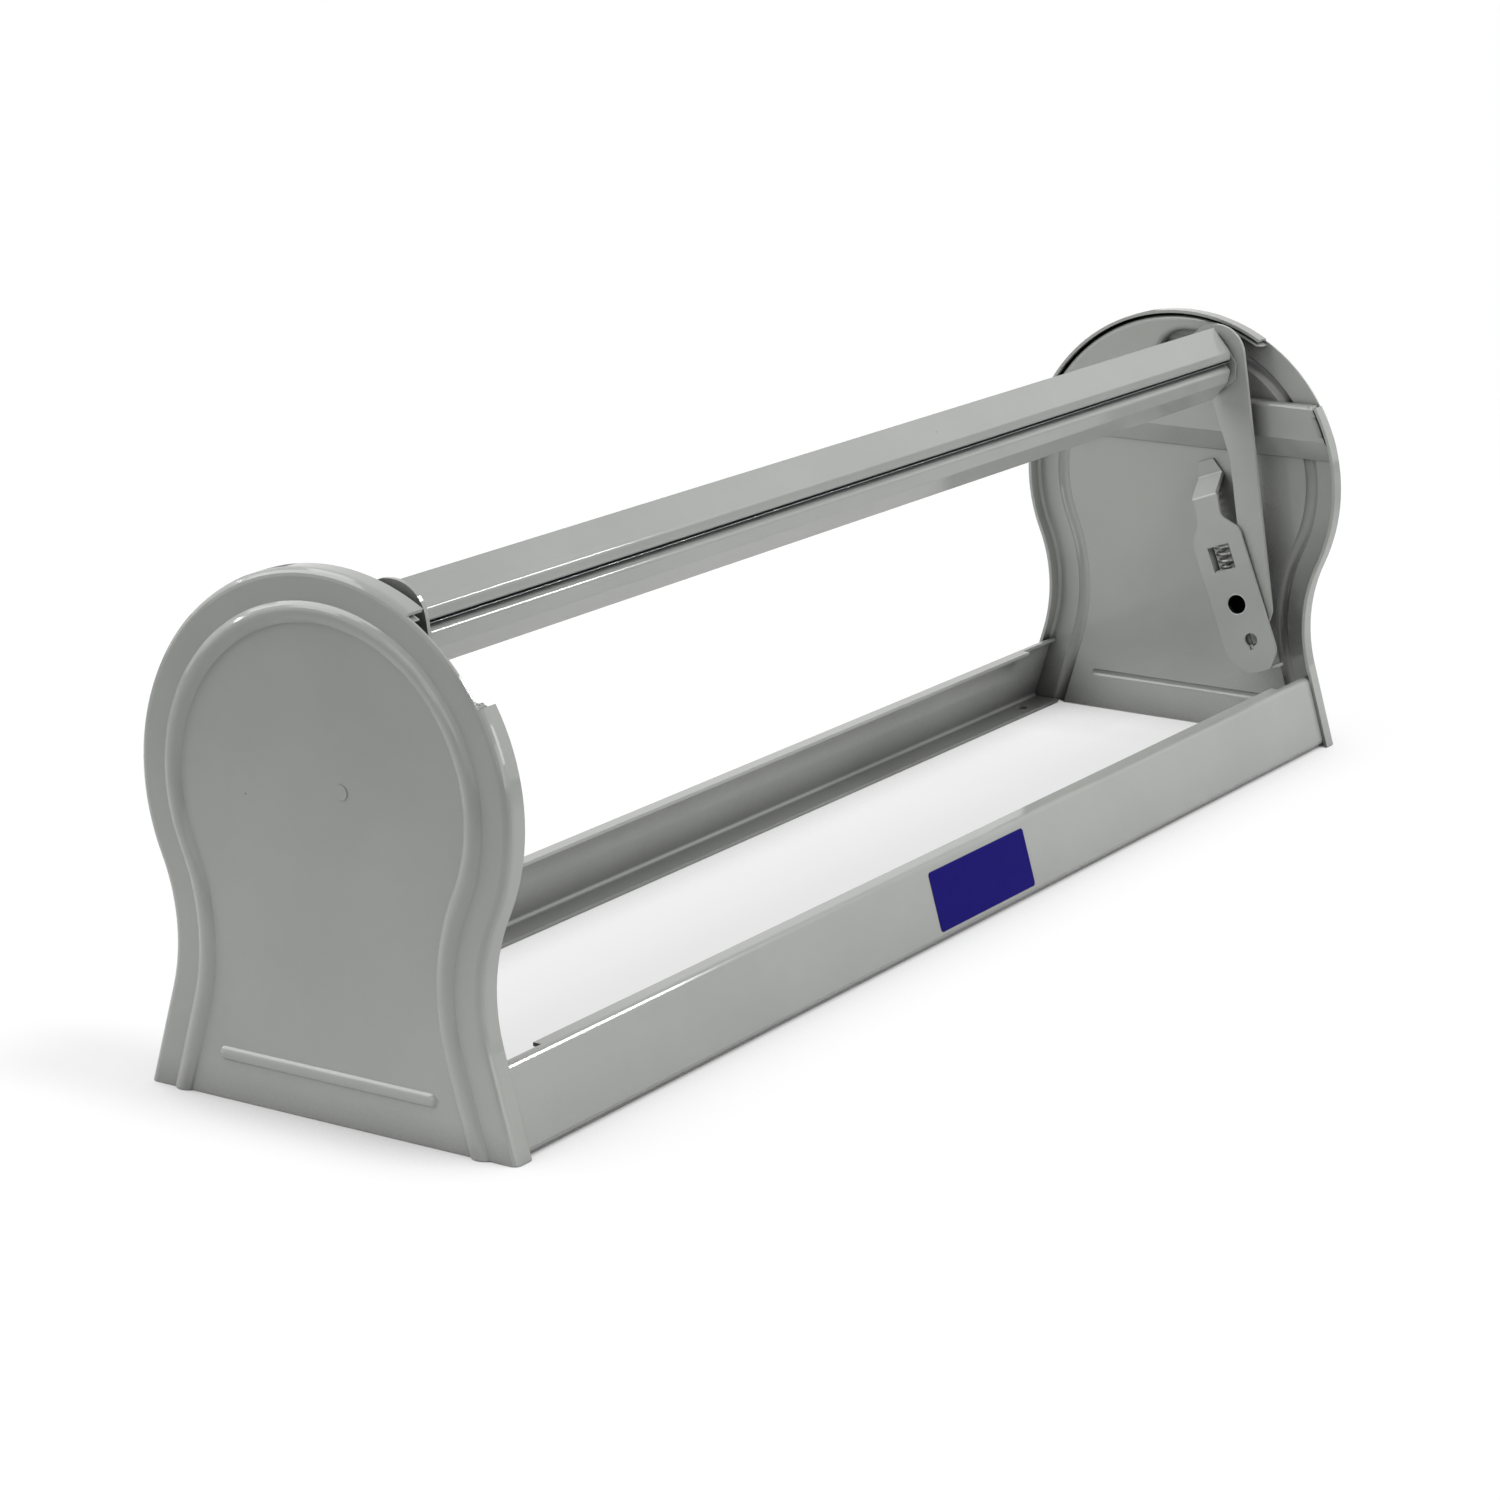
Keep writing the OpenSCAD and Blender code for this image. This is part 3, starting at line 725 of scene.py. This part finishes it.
@dataclass
class BarRivets:
    """The row of domed rivets through the two bars and the blade."""

    paint: Paintbox
    count: int = 6
    span: float = 586.4
    y: float = -23.5
    z: float = 187.8
    grip: float = 1.95
    shank_r: float = 2.0
    head_r: float = 3.5
    head_h: float = 1.2
    rim_h: float = 0.25
    sides: int = 24
    dome_step: int = 15
    sharp: float = 40.0

    def profile(self) -> list[tuple[float, float]]:
        """The rivet's outline from its lower head to its upper one, without the two poles.

        Returns:
            The outline as (radius, height), in millimetres.
        """
        rise = self.head_h - self.rim_h
        dome = [(self.head_r * math.cos(turn), self.grip + self.rim_h + rise * math.sin(turn))
                for turn in map(math.radians, range(0, 90, self.dome_step))]
        upper = [(self.head_r, self.grip), *dome]
        lower = [(r, -z) for r, z in reversed(upper)]
        return [*lower, (self.shank_r, -self.grip), (self.shank_r, self.grip), *upper]

    def rivet(self) -> bpy.types.Mesh:
        """One rivet at the origin, closed at both poles.

        Returns:
            The rivet's mesh, in metres.
        """
        form = bmesh.new()
        sides = self.sides
        rings = [[form.verts.new((r * math.cos(2 * math.pi * k / sides),
                                  r * math.sin(2 * math.pi * k / sides), z))
                  for k in range(sides)] for r, z in self.profile()]
        for lower, upper in zip(rings, rings[1:]):
            for k in range(sides):
                after = (k + 1) % sides
                form.faces.new((lower[k], lower[after], upper[after], upper[k]))
        top = self.grip + self.head_h
        for ring, height in ((rings[0], -top), (rings[-1], top)):
            pole = form.verts.new((0, 0, height))
            for k in range(sides):
                form.faces.new((ring[k], ring[(k + 1) % sides], pole))
        bmesh.ops.recalc_face_normals(form, faces=form.faces[:])
        bmesh.ops.scale(form, vec=(MM, MM, MM), verts=form.verts[:])
        mesh = bpy.data.meshes.new("rivet")
        form.to_mesh(mesh)
        form.free()
        mesh.shade_smooth()
        mesh.set_sharp_from_angle(angle=math.radians(self.sharp))
        return mesh

    def build(self) -> bpy.types.Object:
        """Sets the rivets along their row.

        Returns:
            All the rivets as one piece.
        """
        tree = GeometryTree("row_along_x")
        count = tree.size("Count", "NodeSocketInt")
        start = tree.size("Start", "NodeSocketVector")
        step = tree.size("Step", "NodeSocketVector")
        row = tree.add("GeometryNodeMeshLine", {"mode": "OFFSET"}, {
            "Count": count, "Start Location": start, "Offset": step})
        placed = tree.add("GeometryNodeInstanceOnPoints", {}, {
            "Points": row, "Instance": tree.given()})
        tree.close(placed)
        piece = tree.run("bar_rivet_row", self.rivet(), {
            "Count": self.count,
            "Start": (-self.span / 2 * MM, self.y * MM, self.z * MM),
            "Step": (self.span / (self.count - 1) * MM, 0.0, 0.0),
            "Material": self.paint.finish[Slot.PLATED]})
        settle(piece, Body.CUTTER, Slot.PLATED, "bar_rivets")
        return piece


@dataclass
class Sticker:
    """The plain sticker on the sloped wall of the front rail, with round corners."""

    paint: Paintbox
    size: tuple[float, float] = (80.5, 25.8)
    corner: float = 1.6
    thick: float = 0.3
    round_edge: float = 0.1
    wall_lean: float = 0.28
    corner_step: int = 15

    def outline(self) -> list[tuple[float, float]]:
        """The sticker's outline with its round corners, about its middle.

        Returns:
            The outline's points, in millimetres.
        """
        points: list[tuple[float, float]] = []
        half = (self.size[0] / 2 - self.corner, self.size[1] / 2 - self.corner)
        for k, (right, up) in enumerate(((1, 1), (-1, 1), (-1, -1), (1, -1))):
            for degrees in range(90 * k, 90 * k + 91, self.corner_step):
                angle = math.radians(degrees)
                points.append((right * half[0] + self.corner * math.cos(angle),
                               up * half[1] + self.corner * math.sin(angle)))
        return points

    def build(self) -> bpy.types.Object:
        """Makes the sticker where its solid is.

        Returns:
            The sticker.
        """
        low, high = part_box("blank_label")
        slope = math.asin(self.wall_lean)
        form = bmesh.new()
        base = form.faces.new([form.verts.new((x, y, 0)) for x, y in self.outline()])
        top = bmesh.ops.extrude_face_region(form, geom=[base])
        lifted = [v for v in top["geom"] if isinstance(v, bmesh.types.BMVert)]
        bmesh.ops.translate(form, vec=(0, 0, self.thick), verts=lifted)
        rim = [e for e in form.edges if all(v in lifted for v in e.verts)]
        bmesh.ops.bevel(form, geom=rim, offset=self.round_edge, segments=2, affect="EDGES")
        bmesh.ops.recalc_face_normals(form, faces=form.faces[:])
        mesh = bpy.data.meshes.new("blank_sticker")
        form.to_mesh(mesh)
        form.free()
        up = Vector((0, math.sin(slope), math.cos(slope)))
        out = Vector((0, -math.cos(slope), math.sin(slope)))
        middle = (low + high) / 2 - out * self.thick / 2 * MM
        place = Matrix.Translation(middle) @ Matrix((
            (1, 0, 0, 0), (0, up.y, out.y, 0), (0, up.z, out.z, 0), (0, 0, 0, 1)))
        mesh.transform(place @ Matrix.Diagonal((MM, MM, MM, 1)))
        mesh.materials.append(self.paint.finish[Slot.LABEL])
        piece = bpy.data.objects.new("blank_sticker", mesh)
        bpy.context.scene.collection.objects.link(piece)
        settle(piece, Body.STAND, Slot.LABEL, "blank_label")
        return piece


@dataclass
class Stand:
    """The two end plates with their guides, the rails and the pivot brackets."""

    paint: Paintbox

    def build(self) -> None:
        """Dresses the sheet metal and the fittings of the stand."""
        sheet = ["front_rail", "rear_rail"]
        for side in Side:
            sheet += [f"{side.word}_{part}" for part in ("end_plate", "shaft_guide",
                                                         "pivot_bracket")]
        self.paint.dress(sheet, Slot.ENAMEL)
        fittings = [f"{side.word}_pivot_tube" for side in Side]
        self.paint.dress([*fittings, "pivot_washers"], Slot.PLATED)
        Sticker(self.paint).build()
        for side in Side:
            ArmSpring(PivotAxes(side), self.paint).build()


@dataclass
class Cutter:
    """The swinging pair of arms with the two bars, the blade between them and its rivets."""

    paint: Paintbox

    def build(self) -> None:
        """Dresses the arms, the bars and the blade, and sets the rivets."""
        sheet = ["upper_cutter_bar", "lower_cutter_bar"]
        for side in Side:
            sheet += [f"{side.word}_arm", f"{side.word}_bar_clip"]
        self.paint.dress(sheet, Slot.ENAMEL)
        self.paint.dress(["cutter_blade"], Slot.BLADE)
        BarRivets(self.paint).build()


@dataclass(frozen=True)
class Viewpoint:
    """The photographer's camera, in millimetres and degrees."""

    azimuth: float = -57.33
    elevation: float = 15.33
    roll: float = 0.064
    place: tuple[float, float, float] = (-1459.98, -899.67, 532.94)
    lens: float = 98.777
    sensor: float = 36.0
    nearest: float = 0.05
    farthest: float = 50

    def build(self) -> bpy.types.Object:
        """Makes the camera and hands it to the scene.

        Returns:
            The camera.
        """
        side, rise = math.radians(self.azimuth), math.radians(self.elevation)
        back = Vector((math.sin(side) * math.cos(rise), -math.cos(side) * math.cos(rise),
                       math.sin(rise)))
        right = (-back).cross(Vector((0, 0, 1))).normalized()
        up = right.cross(-back)
        tilt = math.radians(self.roll)
        across = right * math.cos(tilt) + up * math.sin(tilt)
        over = up * math.cos(tilt) - right * math.sin(tilt)
        data = bpy.data.cameras.new("camera")
        data.lens = self.lens
        data.sensor_width = self.sensor
        data.clip_start = self.nearest
        data.clip_end = self.farthest
        camera = bpy.data.objects.new("camera", data)
        spin = Matrix((across, over, back)).transposed().to_4x4()
        camera.matrix_world = Matrix.Translation(Vector(self.place) * MM) @ spin
        bpy.context.scene.collection.objects.link(camera)
        bpy.context.scene.camera = camera
        return camera


@dataclass(frozen=True)
class Lamp:
    """A soft box of the studio, in metres."""

    name: str
    place: tuple[float, float, float]
    aim: tuple[float, float, float]
    size: tuple[float, float]
    power: float

    def build(self) -> None:
        """Hangs the lamp."""
        data = bpy.data.lights.new(self.name, "AREA")
        data.shape = "RECTANGLE"
        data.size, data.size_y = self.size
        data.energy = self.power
        lamp = bpy.data.objects.new(self.name, data)
        lamp.location = self.place
        aim = Vector(self.aim) - Vector(self.place)
        lamp.rotation_mode = "QUATERNION"
        lamp.rotation_quaternion = aim.to_track_quat("-Z", "Y")
        bpy.context.scene.collection.objects.link(lamp)


@dataclass
class Studio:
    """A pale floor under soft boxes, against white.

    The floor sends one grey back onto the object and shows another to the camera: white, darker
    under the object, beside its left end and where it touches. Lengths from shade_y to left_y are
    in millimetres, the spans of the shadows are in metres.
    """

    floor: Colour = (0.94, 0.94, 0.94)
    floor_far: Colour = (0.34, 0.34, 0.34)
    shadow_part: Colour = (0.08, 0.08, 0.08)
    lift: float = 0.95
    shade_y: float = 15.0
    under_depth: float = 0.24
    touch_depth: float = 0.95
    touch_power: float = 2.2
    left_x: float = -338.0
    left_y: float = 48.0
    left_depth: float = 0.12
    bright_span: tuple[float, float] = (0.45, 1.0)
    clear_span: tuple[float, float] = (0.7, 1.3)
    under_across: tuple[float, float] = (0.0, 0.11)
    under_along: tuple[float, float] = (0.3, 0.37)
    left_across: tuple[float, float] = (0.008, 0.052)
    left_along: tuple[float, float] = (0.075, 0.14)
    touch_reach: float = 60 * MM
    reach: float = 14.0
    drop: float = 0.4 * MM
    lamps: tuple[Lamp, ...] = (
        Lamp("key", (-1.1, 1.5, 2.1), (0.0, 0.0, 0.1), (2.2, 2.2), 54.0),
        Lamp("front_top", (0.0, -1.8, 2.0), (0.0, 0.0, 0.1), (1.4, 1.0), 29.0),
        Lamp("front_low", (-0.9, -2.5, 0.6), (0.0, 0.0, 0.1), (1.4, 0.8), 7.0),
        Lamp("left_fill", (-2.8, 0.0, 0.9), (0.0, 0.0, 0.1), (1.2, 1.2), 6.0),
        Lamp("right_front", (1.1, -2.1, 0.9), (0.2, 0.0, 0.1), (0.7, 0.7), 8.0),
        Lamp("fold_light", (1.62, -1.0, 1.3), (1.62, -0.05, 0.19), (0.34, 0.36), 11.0),
        Lamp("bead_glint", (-1.1, 2.2, 0.95), (-0.35, 0.0, 0.15), (0.36, 0.36), 8.0),
    )

    @staticmethod
    def seen(tree: Tree) -> Wire:
        """1 for a ray of the camera or of a gloss or glass surface, else 0.

        Args:
            tree: The tree that asks.

        Returns:
            The mask.
        """
        path = tree.add("ShaderNodeLightPath", output="Is Camera Ray")
        outputs = path.socket.node.outputs
        total = path + Wire(tree, outputs["Is Glossy Ray"])
        total = total + Wire(tree, outputs["Is Transmission Ray"])
        return tree.add("ShaderNodeClamp", {}, {"Value": total})

    def build(self) -> None:
        """Makes the world, the floor and the lamps."""
        world = bpy.data.worlds.new("studio")
        world.use_nodes = True
        bpy.context.scene.world = world
        tree = Tree(world.node_tree)
        plain = tree.add("ShaderNodeBackground", {}, {"Color": BLACK})
        white = tree.add("ShaderNodeBackground", {}, {"Color": WHITE, "Strength": 1.0})
        both = tree.add("ShaderNodeMixShader", {}, {0: self.seen(tree), 1: plain, 2: white})
        tree.add("ShaderNodeOutputWorld", sockets={"Surface": both})
        self._lay_floor()
        for lamp in self.lamps:
            lamp.build()
        bpy.context.scene.view_settings.view_transform = "Standard"

    def _lay_floor(self) -> None:
        """Lays the floor, which looks white and keeps the shadow."""
        material, tree = new_material("studio_floor", self.floor)
        where = tree.add("ShaderNodeTexCoord", output="Object")
        away = tree.add("ShaderNodeVectorMath", {"operation": "LENGTH"}, {0: where},
                        output="Value")
        bounce = tree.tint(away.eased(*self.bright_span), self.floor, self.floor_far)
        plain = tree.add("ShaderNodeBsdfDiffuse", {}, {"Color": bounce})
        axes = tree.add("ShaderNodeSeparateXYZ", {}, {0: where}).socket.node.outputs
        across = (Wire(tree, axes["Y"]) + self.shade_y * MM).size()
        along = Wire(tree, axes["X"]).size()
        under = (1 - across.eased(*self.under_across)) * (1 - along.eased(*self.under_along))
        touch = tree.hidden_share(self.touch_reach) ** self.touch_power
        out = (Wire(tree, axes["X"]) - self.left_x * MM).size()
        rear = (Wire(tree, axes["Y"]) - self.left_y * MM).size()
        beside = (1 - out.eased(*self.left_across)) * (1 - rear.eased(*self.left_along))
        # Painted shadows: the floor's emission is darker under the object, beside its left end and
        # where it touches.
        level = (1 - self.under_depth * under - self.left_depth * beside
                 - self.touch_depth * touch)
        lift = tree.add("ShaderNodeEmission", {}, {
            "Color": tree.tint(level, BLACK, WHITE), "Strength": self.lift})
        faint = tree.add("ShaderNodeBsdfDiffuse", {}, {"Color": self.shadow_part})
        lit = tree.add("ShaderNodeAddShader", {}, {0: faint, 1: lift})
        clear = tree.add("ShaderNodeEmission", {}, {"Color": WHITE, "Strength": 1.0})
        shown = tree.add("ShaderNodeMixShader", {}, {
            0: away.eased(*self.clear_span), 1: lit, 2: clear})
        camera = tree.add("ShaderNodeLightPath", output="Is Camera Ray")
        close_material(tree, tree.add("ShaderNodeMixShader", {}, {0: camera, 1: plain, 2: shown}))
        mesh = bpy.data.meshes.new("floor")
        around = ((-1, -1), (1, -1), (1, 1), (-1, 1))
        mesh.from_pydata([(x * self.reach, y * self.reach, -self.drop) for x, y in around],
                         [], [(0, 1, 2, 3)])
        mesh.materials.append(material)
        floor = bpy.data.objects.new("floor", mesh)
        bpy.context.scene.collection.objects.link(floor)


def main() -> None:
    """Builds the scene."""
    logging.basicConfig(level=logging.INFO, format="%(name)s: %(message)s")
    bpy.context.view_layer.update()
    Viewpoint().build()
    paint = Paintbox()
    Stand(paint).build()
    Cutter(paint).build()
    Studio().build()


if __name__ == "__main__":
    main()
